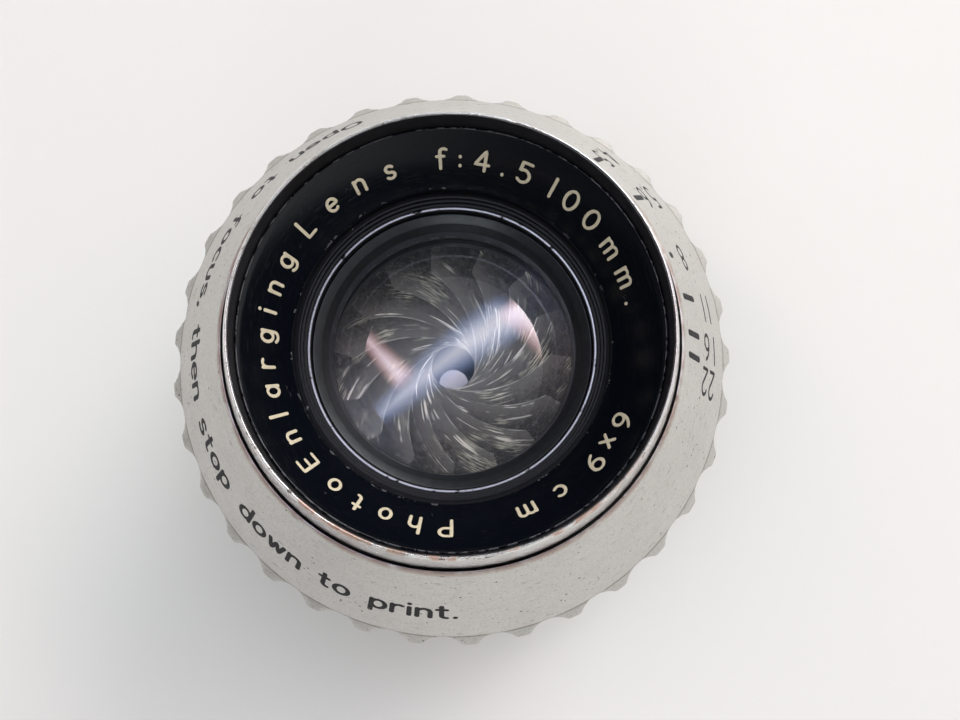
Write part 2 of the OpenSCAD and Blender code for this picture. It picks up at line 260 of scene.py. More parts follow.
# -------------------------------- materials
def satin_alloy():
    """Plated alloy with a fine satin, dark pits, short scratches and a tarnished front edge; darker in a
    thin line at the cone's foot and in the flute valleys.
    """
    g = Graph("satin_alloy")
    cloud = g.noise(0.16, 4, 0.6)
    grain = g.noise(5.0, 3, 0.7)
    turning = g.noise(1.0, 3, 0.6, g.round_the_axis(11, 0, 5.5))
    tone = g.mix(cloud, rgb(0.60, 0.59, 0.565), rgb(0.72, 0.71, 0.68))
    tone = g.mix(g.ramp(grain, 0.42, 0.78), tone, rgb(0.50, 0.49, 0.465))
    tone = g.mix(g.times(g.ramp(turning, 0.50, 0.72), 0.35), tone, rgb(0.44, 0.43, 0.41))
    patches = g.ramp(g.noise(0.22, 3, 0.6), 0.42, 0.62)
    pits = g.times(g.specks(1.9, 0.30, 0.65), patches)
    dots = g.times(g.specks(4.2, 0.30, 0.30, 7.3), g.ramp(g.noise(0.5, 2), 0.40, 0.60))
    dashes = g.specks(1.5, 0.26, 0.60, 2.9, g.round_the_axis(8, 0, 2.6))
    dashes = g.times(dashes, g.ramp(g.noise(0.30, 3, 0.6), 0.42, 0.56), 0.85)
    nicks = g.times(g.hairs(0.30, 0.0035, seed=4.4), g.ramp(g.noise(0.8, 2), 0.60, 0.68), 0.8)
    dark = g.most(pits, dots, dashes, nicks)
    tone = g.mix(g.times(dark, 0.90), tone, rgb(0.035, 0.032, 0.029))
    edge = g.times(g.ramp(g.z, CONE_H - 0.85, CONE_H - 0.15), g.ramp(g.noise(0.35, 3, 0.6), 0.30, 0.58))
    tone = g.mix(g.times(edge, 0.70), tone, rgb(0.34, 0.22, 0.17))
    # a thin darker brownish line where the cone meets the flutes
    base = g.times(g.band(g.z, -0.02, 0.16), g.band(g.r, CONE_BASE_R, 0.3))
    tone = g.mix(g.times(base, 0.6), tone, rgb(0.17, 0.13, 0.10))
    # darker in the flute valleys below the cone, broken up by noise
    valley = g.times(g.ramp(g.r, CONE_BASE_R + 0.35, CONE_BASE_R), g.ramp(g.z, -0.02, -0.4))
    valley_darkening = g.times(valley, g.ramp(g.noise(1.6, 4, 0.7), 0.40, 0.70), 0.30)
    tone = g.mix(valley_darkening, tone, rgb(0.20, 0.19, 0.17))
    rough = g.math("ADD", g.scaled(g.noise(0.9, 3), 0.38, 0.52), g.times(dark, 0.3))
    relief = g.math("SUBTRACT", g.times(g.math("ADD", grain, turning), 0.3), dark)
    g.set(Base_Color=tone, Metallic=g.math("SUBTRACT", 1.0, g.times(dark, 0.8)), Roughness=rough,
          Normal=g.bump(relief, 0.00002, 0.7))
    return g.material


def bright_rim():
    """Polished plating, scuffed, with chips through to dark metal, a warm stain on the lip and painted
    shade along its foot.
    """
    g = Graph("bright_rim")
    scuff = g.noise(1.0, 3, 0.6, g.round_the_axis(16, 5, 4))
    tone = g.mix(scuff, rgb(0.72, 0.72, 0.71), rgb(0.90, 0.90, 0.90))
    lip = g.ramp(g.z, RIM_Z - 1.1, RIM_Z - 0.35)
    chips = g.times(g.ramp(g.noise(1.2, 4, 0.65), 0.58, 0.64), lip)
    low_side = g.ramp(g.y, -8, -16)
    chips = g.times(chips, g.scaled(low_side, 0.45, 0.9))
    pits = g.times(g.specks(2.2, 0.22, 0.25, 3.1), 0.8)
    tone = g.mix(g.most(chips, pits), tone, rgb(0.075, 0.062, 0.055))
    stain = g.times(low_side, lip, g.ramp(g.noise(0.45, 4, 0.65), 0.44, 0.58), 0.75)
    tone = g.mix(stain, tone, rgb(0.62, 0.38, 0.27))
    tarnish = g.times(g.ramp(g.noise(0.30, 4, 0.6), 0.50, 0.70), 0.30)
    tone = g.mix(tarnish, tone, rgb(0.45, 0.38, 0.32))
    # painted shade: the rim's foot is darkened nearly black just above the cone, for the dark gap line
    # between them
    foot = g.ramp(g.z, CONE_H + 0.75, CONE_H + 0.05)
    tone = g.mix(g.times(foot, 0.95), tone, rgb(0.012, 0.011, 0.010))
    bore = g.times(g.ramp(g.r, RIM_R + 0.10, RIM_R + 0.03), g.ramp(g.z, RIM_Z - 0.15, RIM_Z - 0.40))
    tone = g.mix(bore, tone, rgb(0.010, 0.010, 0.012))
    rough = g.math("ADD", g.scaled(g.noise(1.2, 4), 0.12, 0.34), g.times(g.most(chips, stain, bore), 0.35))
    relief = g.math("SUBTRACT", g.noise(2.2, 3), g.most(chips, pits))
    g.set(Base_Color=tone, Metallic=g.math("SUBTRACT", 1.0, bore), Roughness=rough,
          Normal=g.bump(relief, 0.00003, 0.7))
    return g.material


def black_metal(name, colour, rough, worn=(), metallic=0.0, marks=1.0, specular=0.5):
    """Black enamel or anodising. Each worn place is (radius, half width, z, half height, amount)."""
    g = Graph(name)
    mottled = g.noise(1.3, 4, 0.6)
    tone = g.mix(mottled, rgb(*(c * 0.75 for c in colour)), rgb(*(c * 1.3 for c in colour)))
    dust = g.times(g.specks(2.3, 0.10, 0.10, 1.7), 0.45 * marks)
    lint = g.times(g.hairs(0.25, 0.0030, seed=8.1), g.ramp(g.noise(0.9, 2), 0.66, 0.72), 0.5 * marks)
    tone = g.mix(g.most(dust, lint), tone, rgb(0.30, 0.30, 0.31))
    lines = g.ramp(g.noise(1.0, 2, 0.5, g.round_the_axis(9, 7, 7)), 0.60, 0.72)
    tone = g.mix(g.times(lines, 0.03 * marks), tone, rgb(0.18, 0.18, 0.19))
    bare = 0.0
    for radius, half_w, z, half_h, amount in worn:
        spot = g.times(g.band(g.r, radius, half_w), g.band(g.z, z, half_h))
        torn = g.ramp(g.noise(1.1, 4, 0.6), 0.62 - 0.3 * amount, 0.70 - 0.3 * amount)
        bare = g.most(g.times(spot, torn), bare)
    if worn:
        tone = g.mix(bare, tone, rgb(0.45, 0.46, 0.48))
    surface = g.math("ADD", g.scaled(g.noise(2.0, 4), rough * 0.75, rough * 1.3), g.times(dust, 0.5))
    relief = g.math("ADD", g.times(mottled, 0.3), g.times(lines, 0.3))
    g.set(Base_Color=tone, Metallic=g.most(bare, metallic) if worn else metallic, Roughness=surface,
          Specular_IOR_Level=specular, Normal=g.bump(relief, 0.00001, 0.6))
    return g.material


def coated_glass(name, mirror, coat=0.0):
    """Clear glass that mirrors a share of each colour; a coat over it makes it mirror more."""
    g = Graph(name)
    g.set(Coat_Weight=coat, Coat_Roughness=0.0, Coat_IOR=1.75)
    g.set(Base_Color=rgb(0.97, 0.985, 0.99), Roughness=0.0, IOR=1.60, Transmission_Weight=1.0,
          Specular_Tint=rgb(*mirror))
    return g.material


def lens_cement():
    """Nothing at all to the eye: light passes a cemented face as if it weren't there."""
    g = Graph("lens_cement")
    g.set(Base_Color=rgb(1, 1, 1), Roughness=0.0, IOR=1.0, Transmission_Weight=1.0, Specular_IOR_Level=0.0)
    return g.material


def edge_black():
    g = Graph("glass_edge_black")
    g.set(Base_Color=g.mix(g.noise(3, 3), rgb(0.008, 0.008, 0.009), rgb(0.02, 0.02, 0.022)), Roughness=0.7)
    return g.material


def blade_steel():
    """Blackened spring steel with painted light: lighter near each blade's hollow edge, painted shade where
    it runs under the next, and painted highlights in thin streaks, on feathery patches of fine lines and
    along the edge.
    """
    g = Graph("blade_steel")
    along = g.node("ShaderNodeAttribute", attribute_name="along").outputs["Fac"]
    across = g.node("ShaderNodeAttribute", attribute_name="across").outputs["Fac"]
    number = g.node("ShaderNodeAttribute", attribute_name="number").outputs["Fac"]

    def over(lengthwise, crosswise, apart):
        """A place on the blade, stretched, and different on each blade."""
        axes = {0: g.times(along, lengthwise), 1: g.times(across, crosswise), 2: g.times(number, apart)}
        return g.node("ShaderNodeCombineXYZ", axes).outputs[0]

    fine = g.noise(3.0, 5, 0.8, over(1.0, 1.0, 5.3))
    cloud = g.noise(0.45, 3, 0.6, over(1.0, 1.0, 3.7))
    tone = g.mix(g.ramp(fine, 0.32, 0.72), rgb(0.023, 0.0222, 0.0215), rgb(0.150, 0.143, 0.136))
    tone = g.mix(g.times(g.ramp(cloud, 0.42, 0.66), 0.45), tone, rgb(0.115, 0.108, 0.100))
    own = g.node("ShaderNodeTexWhiteNoise", {"W": number}, noise_dimensions="1D").outputs["Value"]
    tone = g.mix(g.scaled(own, 0.0, 0.72), tone, rgb(0.020, 0.019, 0.018))
    # painted light: each blade lighter towards its hollow edge
    tone = g.mix(g.times(g.ramp(across, 2.0, 0.1), 0.60), tone, rgb(0.19, 0.181, 0.168))
    # painted shade: darker away from the hollow edge, where the blade runs under the next
    tone = g.mix(g.times(g.ramp(across, 1.2, 3.4), 0.7), tone, rgb(0.012, 0.012, 0.012))
    scratches = g.most(g.hairs(0.7, 0.012, over(1.0, 1.0, 9.1)), g.hairs(0.9, 0.010, over(0.4, 2.2, 4.7)),
                       g.hairs(0.8, 0.010, over(2.0, 0.5, 6.1)))
    tone = g.mix(g.times(scratches, g.scaled(g.noise(1.5, 2), 0.0, 0.6)), tone, rgb(0.30, 0.29, 0.27))
    # fine feathery lines, bumped as real marks, with a painted sheen: their patches are painted bright
    # yellowish
    barbs = g.ramp(g.noise(1.7, 2, 0.6, over(0.42, 6.0, 2.3)), 0.49, 0.60)
    patches = g.ramp(g.noise(0.36, 2, 0.5, over(0.8, 1.1, 8.3)), 0.53, 0.64)
    feather_marks_and_sheen = g.times(barbs, patches, g.ramp(across, 3.6, 2.4))
    tone = g.mix(g.times(feather_marks_and_sheen, 0.9), tone, rgb(0.52, 0.51, 0.41))
    # painted highlights: thin bright streaks near each blade's hollow edge
    streak_highlight = g.ramp(g.noise(0.42, 2, 0.4, over(0.55, 11.0, 7.7)), 0.59, 0.64)
    patches = g.ramp(g.noise(0.35, 2, 0.5, over(1.0, 1.0, 1.9)), 0.47, 0.55)
    streak_highlight = g.times(streak_highlight, patches, g.ramp(across, 1.7, 0.9))
    tone = g.mix(streak_highlight, tone, rgb(0.80, 0.77, 0.69))
    # painted highlight: a thin light line along the hollow edge, broken up by noise
    edge_highlight_breakup = g.ramp(g.noise(0.5, 3, 0.6, over(1.0, 0.0, 5.9)), 0.40, 0.62)
    edge = g.times(g.ramp(across, 0.13, 0.06), edge_highlight_breakup)
    tone = g.mix(edge, tone, rgb(0.40, 0.39, 0.37))
    relief = g.math("ADD", g.times(fine, 0.5), g.times(feather_marks_and_sheen, 0.5))
    g.set(Base_Color=tone, Metallic=0.45, Roughness=g.scaled(fine, 0.36, 0.55),
          Normal=g.bump(relief, 0.00001, 0.6))
    return g.material


def plain_steel():
    g = Graph("screw_steel")
    grain = g.noise(3.0, 4, 0.6)
    tone = g.mix(g.ramp(grain, 0.55, 0.7), rgb(0.52, 0.51, 0.49), rgb(0.20, 0.17, 0.14))
    g.set(Base_Color=tone, Metallic=1.0, Roughness=g.scaled(grain, 0.28, 0.5),
          Normal=g.bump(grain, 0.00001, 0.6))
    return g.material


def filled(name, colour, lost, under):
    """Paint in an engraved stroke, with specks of it lost."""
    g = Graph(name)
    gone = g.math("MULTIPLY", g.ramp(g.noise(3.5, 4, 0.7), 0.66 - 0.15 * lost, 0.72 - 0.15 * lost), 0.85)
    tone = g.mix(g.noise(2.0, 3), rgb(*(c * 0.8 for c in colour)), rgb(*(min(1, c * 1.12) for c in colour)))
    g.set(Base_Color=g.mix(gone, tone, rgb(*under)), Roughness=g.scaled(g.noise(4, 3), 0.45, 0.7),
          Specular_IOR_Level=0.2, Normal=g.bump(g.noise(6, 3), 0.00001, 0.6))
    return g.material


def table_top():
    g = Graph("table_top")
    tone = g.mix(g.noise(0.01, 3), rgb(0.805, 0.825, 0.785), rgb(0.83, 0.85, 0.81))
    g.set(Base_Color=tone, Roughness=0.6, Normal=g.bump(g.noise(0.8, 3), 0.00003, 0.3))
    return g.material


ALLOY = satin_alloy()
BRIGHT = bright_rim()
BLACK = black_metal("black_anodised", (0.020, 0.020, 0.022), 0.36)
ENAMEL = black_metal("gloss_black", (0.0025, 0.0036, 0.0062), 0.12, marks=0.6, specular=0.35,
                     worn=[(14.86, 0.14, 9.55, 0.2, 0.15), (19.0, 0.10, 14.42, 0.12, 0.5)])
CELL_BLACK = black_metal("cell_black", (0.005, 0.0052, 0.006), 0.34, specular=0.2,
                         worn=[(13.57, 0.20, 7.2, 0.14, 0.9), (14.6, 0.2, 8.4, 0.2, -0.25)])
RING_BLACK = black_metal("ring_black", (0.050, 0.055, 0.060), 0.36, metallic=0.8,
                         worn=[(11.8, 0.08, 3.3, 0.15, 0.5)])
MOUNT_BLACK = black_metal("mount_black", (0.018, 0.018, 0.020), 0.38,
                          worn=[(19.5, 0.12, -17.0, 4.0, 0.25), (25.0, 0.25, -14.4, 0.35, 0.5),
                                (26.0, 0.2, -9.3, 0.3, 0.5)])
CREAM = filled("cream_fill", (0.70, 0.64, 0.46), 0.1, (0.10, 0.09, 0.07))
CHARCOAL = filled("black_fill", (0.010, 0.010, 0.012), 0.15, (0.26, 0.255, 0.245))
BLADE = blade_steel()
STEEL = plain_steel()
FRONT_COAT = coated_glass("front_coat", (0.84, 0.88, 1.0), 1.0)
INNER_COAT = coated_glass("inner_coat", (0.04, 0.06, 0.11))
REAR_COAT = coated_glass("rear_coat", (1.0, 0.75, 0.92), 1.0)
CEMENT = lens_cement()
EDGE = edge_black()


# -------------------------------- building meshes
def outward(mesh):
    """Turns every face of a closed mesh to look outward."""
    build = bmesh.new()
    build.from_mesh(mesh)
    bmesh.ops.recalc_face_normals(build, faces=build.faces)
    build.to_mesh(mesh)
    build.free()


def piece(name, vertices, faces, materials, body, replaces=(), indices=None, sharp=()):
    """A named piece of the visual model: a closed mesh whose faces look outward."""
    mesh = bpy.data.meshes.new(name)
    mesh.from_pydata([tuple(v) for v in vertices], [], faces)
    for made in materials:
        mesh.materials.append(made)
    if indices is not None:
        mesh.polygons.foreach_set("material_index", indices)
    mesh.shade_smooth()
    if sharp:
        wanted = {tuple(sorted(pair)) for pair in sharp}
        for edge in mesh.edges:
            if tuple(sorted(edge.vertices)) in wanted:
                edge.use_edge_sharp = True
    mesh.validate()
    mesh.update()
    outward(mesh)
    made = placed(name, mesh)
    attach(made, body)
    if replaces:
        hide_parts(*replaces)
    return made


def rounded(corners, steps=4):
    """A closed outline from corners (r, z) or (r, z, fillet radius), fillets as arcs."""
    points = []
    count = len(corners)
    for i, corner in enumerate(corners):
        here = Vector(corner[:2])
        fillet = corner[2] if len(corner) > 2 else 0.0
        if not fillet:
            points.append((here.x, here.y))
            continue
        before = Vector(corners[i - 1][:2]) - here
        after = Vector(corners[(i + 1) % count][:2]) - here
        half = before.angle(after) / 2
        back = min(fillet / math.tan(half), before.length * 0.49, after.length * 0.49)
        start, end = here + before.normalized() * back, here + after.normalized() * back
        for k in range(steps + 1):
            t = k / steps
            bent = start * (1 - t) ** 2 + here * 2 * t * (1 - t) + end * t ** 2
            points.append((bent.x, bent.y))
    return points


def finer(outline, longest):
    """The outline with its long sides cut into pieces."""
    points = []
    for (r0, z0), (r1, z1) in zip(outline, outline[1:] + outline[:1]):
        cuts = max(1, math.ceil(math.hypot(r1 - r0, z1 - z0) / longest))
        points += [(r0 + (r1 - r0) * k / cuts, z0 + (z1 - z0) * k / cuts) for k in range(cuts)]
    return points


def turned(name, outline, material, body, replaces=(), segments=288, shape=None, headings=None,
           crease=math.radians(38)):
    """A solid of revolution round the lens axis. shape(degrees, r, z) may move its points."""
    turns = headings or [360.0 * j / segments for j in range(segments)]
    rows = len(outline)
    vertices = []
    for degrees in turns:
        for r, z in outline:
            moved = shape(degrees, r, z) if shape else (r, z)
            vertices.append(P(moved[0], degrees, moved[1]))
    sides = [Vector(outline[(k + 1) % rows]) - Vector(outline[k]) for k in range(rows)]
    creased = [k for k in range(rows) if sides[k - 1].length and sides[k].length
               and sides[k - 1].angle(sides[k]) > crease]
    faces, sharp = [], []
    for j in range(len(turns)):
        a, b = j * rows, (j + 1) % len(turns) * rows
        for k in range(rows):
            faces.append((a + k, a + (k + 1) % rows, b + (k + 1) % rows, b + k))
        sharp += [(a + k, b + k) for k in creased]
    piece(name, vertices, faces, [material], body, replaces, sharp=sharp)


# -------------------------------- aperture ring
def flute_r(degrees):
    """Radius of the flutes' wall in a direction, or None between two flutes."""
    pitch = 360.0 / FLUTES
    off = math.radians((degrees - FLUTE_PHASE + pitch / 2) % pitch - pitch / 2)
    middle = CONE_BASE_R + FLUTE_CUTTER_R
    reach = FLUTE_CUTTER_R ** 2 - (middle * math.sin(off)) ** 2
    return middle * math.cos(off) - math.sqrt(reach) if reach > 0 else None


def soft_min(a, b, blend):
    h = min(max(0.5 + 0.5 * (b - a) / blend, 0.0), 1.0)
    return b + (a - b) * h - blend * h * (1 - h)


def dents(seed, count, heights, sizes, depths):
    """Random small dents: (degrees, z, size in mm, depth in mm)."""
    draw = random.Random(seed)
    return [(draw.uniform(0, 360), draw.uniform(*heights), draw.uniform(*sizes), draw.uniform(*depths))
            for _ in range(count)]


def dented(found, degrees, r, z):
    """How far the dents push the surface in at one point."""
    pushed = 0.0
    for heading, height, size, depth in found:
        across = math.radians((degrees - heading + 180) % 360 - 180) * r
        away = math.hypot(across, z - height) / size
        if away < 1:
            pushed += depth * (1 - away * away) ** 2
    return pushed


RING_DENTS = dents(11, 46, (-8.6, 12.6), (0.25, 0.8), (0.015, 0.06))
RING_DENTS += dents(12, 30, (-0.9, 0.2), (0.3, 0.7), (0.03, 0.09))


def ring_shape(degrees, r, z):
    """Cuts the flutes and knocks the dents in, and leaves the ring's bores alone."""
    if r < CONE_FRONT_R - 0.05 and z < CONE_H - 0.3 or r < RING_BORE_R + 0.1 and z < RING_STEP_Z + 0.1:
        return r, z
    wall = flute_r(degrees)
    if wall is not None and z < 1.0:
        r = soft_min(r, wall, 0.05)
    return r - dented(RING_DENTS, degrees, r, z), z


def aperture_ring():
    peak = CONE_BASE_R + FLUTE_DEPTH
    low = GRIP_LOW
    corners = [(RING_BORE_R, low), (peak - 0.6, low, 0.1), (peak, low + 0.6, 0.25),
               (peak, -FLUTE_DEPTH, 0.12), (CONE_BASE_R, 0.0, 0.10), (CONE_FRONT_R, CONE_H, 0.10),
               (RING_MOUTH_R, CONE_H), (RING_MOUTH_R, RING_STEP_Z), (RING_BORE_R, RING_STEP_Z)]
    pitch = 360.0 / FLUTES
    steps = 22
    headings = []
    for i in range(FLUTES):
        for k in range(steps):
            headings.append(FLUTE_PHASE - pitch / 2 + pitch * (i + k / steps))
    outline = finer(rounded(corners), 0.52)
    turned("conical_aperture_ring", outline, ALLOY, TURNING, ["aperture_ring"],
           headings=headings, shape=ring_shape)


# -------------------------------- front parts
BEZEL_FOOT = (20.45, CONE_H - 0.05)
BEZEL_SHOULDER = (RIM_R + 0.34, RIM_Z - 0.28)
BEZEL_DENTS = dents(5, 34, (RIM_Z - 0.9, RIM_Z), (0.2, 0.9), (0.01, 0.05))


def bezel_shape(degrees, r, z):
    """Bends the rim a little out of true and knocks its dents in."""
    if z < CONE_H:
        return r, z
    high = smoothstep(RIM_Z - 0.7, RIM_Z, z)
    wave = 0.02 * math.sin(math.radians(degrees * 3 + 40)) + 0.012 * math.sin(math.radians(degrees * 11))
    knock = dented(BEZEL_DENTS, degrees, r, z)
    return r - knock * 0.6, z - high * (abs(wave) + knock)


def front_bezel():
    inner, low, step = 19.8, 7.45, 13.6
    corners = [(inner, low), (BEZEL_FOOT[0], low), (*BEZEL_FOOT, 0.12), (*BEZEL_SHOULDER, 0.22),
               (RIM_R + 0.12, RIM_Z, 0.12), (RIM_R, RIM_Z - 0.16, 0.08), (RIM_R, step), (inner, step)]
    outline = finer(rounded(corners, 5), 0.3)
    turned("polished_front_bezel", outline, BRIGHT, FIXED, ["front_bezel"],
           segments=420, shape=bezel_shape)


def name_ring():
    corners = [(14.8, 8.85), (14.8, 9.5, 0.06), (18.95, 14.5, 0.08), (19.1, 14.36), (19.1, 13.55),
               (18.5, 13.55), (18.5, 13.2)]
    turned("engraved_name_ring", finer(rounded(corners), 0.6), ENAMEL, FIXED,
           ["name_ring"], segments=360)


def front_cell():
    """Its funnel has a bright thread crest at the foot and climbs in ribs."""
    ribs, rib_w, rib_h = 3, 0.25, 0.5
    foot_r, foot_z = 13.72, 6.95
    corners = [(11.3, -4.9), (11.3, -4.25), (12.45, -4.25), (12.45, 2.9), (13.4, 2.9), (13.4, 7.1, 0.04),
               (13.47, 7.2, 0.03), (13.68, 7.2, 0.05), (foot_r, foot_z)]
    for i in range(ribs):
        z = foot_z + (i + 1) * rib_h
        corners += [(foot_r + i * rib_w, z, 0.05), (foot_r + (i + 1) * rib_w, z, 0.03)]
    corners += [(foot_r + ribs * rib_w, 8.4, 0.05), (17, 8.4), (17, 4.6), (18, 4.6), (18, 2.03),
                (14.55, 2.03), (14.55, -4.9)]
    turned("ribbed_front_cell", rounded(corners, 3), CELL_BLACK, FIXED, ["front_cell"],
           segments=320)


def front_retaining_ring():
    """Its inside widens upward in two slopes that run into each other."""
    low, high, inner, outer = 3.35, 6.15, 11.78, 13.35
    corners = [(11.75, 2.64), (12.4, 2.64), (12.4, 2.95), (outer, 2.95), (outer, high - 0.04, 0.05),
               (outer - 0.10, high, 0.15), (12.50, 5.55, 0.5), (11.92, 4.7, 0.5), (inner, low)]
    turned("front_retainer", rounded(corners), RING_BLACK, FIXED,
           ["front_retaining_ring"])


# -------------------------------- glasses
def curved(curve_r, vertex_z, edge_r, bend, steps=40):
    """Points (r, z) of a ground face from the axis out. It is flat for a curve of 0; bend is 1 if it
    falls away outward and -1 if it rises."""
    points = []
    for k in range(steps + 1):
        r = edge_r * k / steps
        fall = curve_r - math.sqrt(curve_r ** 2 - r ** 2) if curve_r else 0.0
        points.append((r, vertex_z - bend * fall))
    return points


def glass(name, node, front, rear, front_coat, rear_coat, segments=160):
    """A lens between two ground faces, with a blackened edge."""
    vertices = [P(0, 0, front[0][1]), P(0, 0, rear[0][1])]
    rings = front[1:] + list(reversed(rear[1:]))
    rows = len(rings)
    for j in range(segments):
        vertices += [P(r, 360.0 * j / segments, z) for r, z in rings]
    faces, indices, sharp = [], [], []
    split = len(front) - 2
    for j in range(segments):
        a, b = 2 + j * rows, 2 + (j + 1) % segments * rows
        faces.append((0, a, b))
        indices.append(0)
        for k in range(rows - 1):
            faces.append((a + k, a + k + 1, b + k + 1, b + k))
            indices.append(0 if k < split else 2 if k == split else 1)
        faces.append((1, b + rows - 1, a + rows - 1))
        indices.append(1)
        sharp += [(a + k, b + k) for k in (split, split + 1)]
    made = piece(name, vertices, faces, [front_coat, rear_coat, EDGE], FIXED, [node],
                 indices, sharp)
    made.visible_shadow = False


def glasses():
    """Five glasses in three groups, from the front down; a gap stands for each layer of cement."""
    front_r, middle_r, rear_r = 12.4, 10.4, 11.6
    cemented = 0.02
    glass("crown_glass_front", "front_crown_glass", curved(31, 4.8, front_r, 1),
          curved(89, -2.2 + cemented, front_r, -1), FRONT_COAT, CEMENT)
    glass("flint_glass_front", "front_flint_glass", curved(89, -2.2, front_r, -1),
          curved(0, -4.2, front_r, 1), CEMENT, INNER_COAT)
    glass("flint_glass_middle", "middle_glass", curved(80.6, -11.2, middle_r, -1),
          curved(28.3, -13.2, middle_r, 1), INNER_COAT, REAR_COAT)
    glass("flint_glass_rear", "rear_flint_glass", curved(0, -22.2, rear_r, 1),
          curved(32.2, -24.2, rear_r, 1), REAR_COAT, CEMENT)
    glass("crown_glass_rear", "rear_crown_glass", curved(32.2, -24.2 - cemented, rear_r, 1),
          curved(53, -31.2, rear_r, -1), CEMENT, REAR_COAT)


# -------------------------------- iris
BLADE_OUTER_R = 13.8
BLADE_ARC = 150.0
BLADE_LOW, BLADE_HIGH = -8.38, -7.02
BLADE_T = 0.035
BLADE_START = -1.0
ROOT_T = 0.05
EAR_R = 0.8
PIN_R = 0.225
PIVOT_PIN_LOW = -9.1
DRIVE_PIN_HIGH = -6.2
ARM_HEADING = 76.25
ARM_LENGTH = 4.8
ARM_END_R = 0.32
ARM_TIP = (PIVOT_R + ARM_LENGTH * math.cos(math.radians(ARM_HEADING)),
           ARM_LENGTH * math.sin(math.radians(ARM_HEADING)))


def round_outline(x, y, radius, start=0.0, sweep=360.0, sides=16):
    """Points of a circle's arc; a whole circle leaves its last point out."""
    steps = sides if sweep == 360.0 else sides + 1
    turns = [math.radians(start + sweep * k / sides) for k in range(steps)]
    return [(x + radius * math.cos(a), y + radius * math.sin(a)) for a in turns]


def blade_root():
    """Outline of a blade's root: an ear round the pivot pin and an arm out to the drive pin."""
    across = ARM_HEADING - 90
    outline = [(13.2, -0.45)] + round_outline(PIVOT_R, 0, EAR_R, -90, 90 + across, 5)
    outline += round_outline(*ARM_TIP, ARM_END_R, across, 180, 8)
    return outline + [(14.75, 1.7), (13.4, 2.6)]


def blade(node):
    """One blade as a thin sheet that climbs along its arc, so that each blade lies over the next
    all the way round, with its pivot pin and its drive pin."""
    bodies = frame["record"]["behaviour"]["bodies"]
    body = next(name for name, members in bodies.items() if node in members)
    joint = next(joint for joint in frame["joints"] if joint["child"] == body)
    pivot = Vector(joint["pos_m"]) / MM
    swing = Matrix.Rotation(math.radians(-joint["range_deg"][0]), 2)
    heading = Matrix.Rotation(math.atan2(pivot.y, pivot.x), 2)
    vertices, faces, marks = [], [], []

    def put(x, y, z):
        """A point of the fully open blade, whose pivot is on the X axis, where this blade has it now."""
        at = heading @ (Vector((PIVOT_R, 0)) + swing @ Vector((x - PIVOT_R, y)))
        return Vector((at.x * MM, at.y * MM, BASE_Z + z * MM))

    width = BLADE_OUTER_R - OPEN_R
    columns, rows = 72, 12
    for side in (0, 1):
        for i in range(columns + 1):
            t = i / columns
            along = math.radians(BLADE_START + (BLADE_ARC - BLADE_START) * t)
            tip = smoothstep(0.93, 1.0, t) * 0.48
            z = BLADE_LOW + (BLADE_HIGH - BLADE_LOW) * t + side * BLADE_T
            for k in range(rows + 1):
                across = width * (k / rows * (1 - 2 * tip) + tip)
                r = OPEN_R + across
                vertices.append(put(r * math.cos(along), r * math.sin(along), z))
                marks.append((along * OPEN_R, across))
    per = (columns + 1) * (rows + 1)
    for i in range(columns):
        for k in range(rows):
            a = i * (rows + 1) + k
            faces.append((a, a + rows + 1, a + rows + 2, a + 1))
            faces.append((per + a, per + a + 1, per + a + rows + 2, per + a + rows + 1))
    rim = [i * (rows + 1) for i in range(columns + 1)]
    rim += [columns * (rows + 1) + k for k in range(1, rows + 1)]
    rim += [i * (rows + 1) + rows for i in range(columns - 1, -1, -1)]
    rim += [k for k in range(rows - 1, 0, -1)]
    around = list(zip(rim, rim[1:] + rim[:1]))
    for a, b in around:
        faces.append((a, b, per + b, per + a))
    sharp = [(a + d, b + d) for a, b in around for d in (0, per)]

    def prism(outline, low, high):
        """Adds a flat plate or a pin to the blade."""
        first, sides = len(vertices), len(outline)
        for z in (low, high):
            for x, y in outline:
                vertices.append(put(x, y, z))
                marks.append((0.0, 2.0))
        for j in range(sides):
            a, b = first + j, first + (j + 1) % sides
            faces.append((a, b, b + sides, a + sides))
            sharp.extend(((a, b), (a + sides, b + sides)))
        faces.append(tuple(first + sides + j for j in range(sides)))
        faces.append(tuple(first + j for j in reversed(range(sides))))

    root_low = BLADE_LOW + 0.005
    prism(blade_root(), root_low, root_low + ROOT_T)
    prism(round_outline(PIVOT_R, 0, PIN_R), PIVOT_PIN_LOW, root_low + 0.015)
    prism(round_outline(*ARM_TIP, PIN_R), root_low + 0.025, DRIVE_PIN_HIGH)
    number = node[-2:]
    made = piece("blade_" + number, vertices, faces, [BLADE], body, [node], sharp=sharp)
    lengthwise, crosswise = zip(*marks)
    numbers = [float(number)] * len(marks)
    for name, values in (("along", lengthwise), ("across", crosswise), ("number", numbers)):
        made.data.attributes.new(name, "FLOAT", "POINT").data.foreach_set("value", values)


# -------------------------------- mount
THREAD_PITCH = 25.4 / 26
THREAD_R, THREAD_ROOT_R = 19.5, 18.92
THREAD_LOW, THREAD_HIGH = -20.2, -14.75


def thread_shape(degrees, r, z):
    """Cuts a helical thread into the nose of the mount barrel."""
    if r < THREAD_R - 0.01 or not THREAD_LOW <= z <= THREAD_HIGH:
        return r, z
    turn = (z / THREAD_PITCH + degrees / 360.0) % 1.0
    tooth = abs(turn * 2 - 1)
    depth = smoothstep(0.12, 0.88, tooth) * smoothstep(THREAD_HIGH - 0.1, THREAD_HIGH - 0.55, z)
    return THREAD_ROOT_R + (THREAD_R - THREAD_ROOT_R) * (1 - depth), z


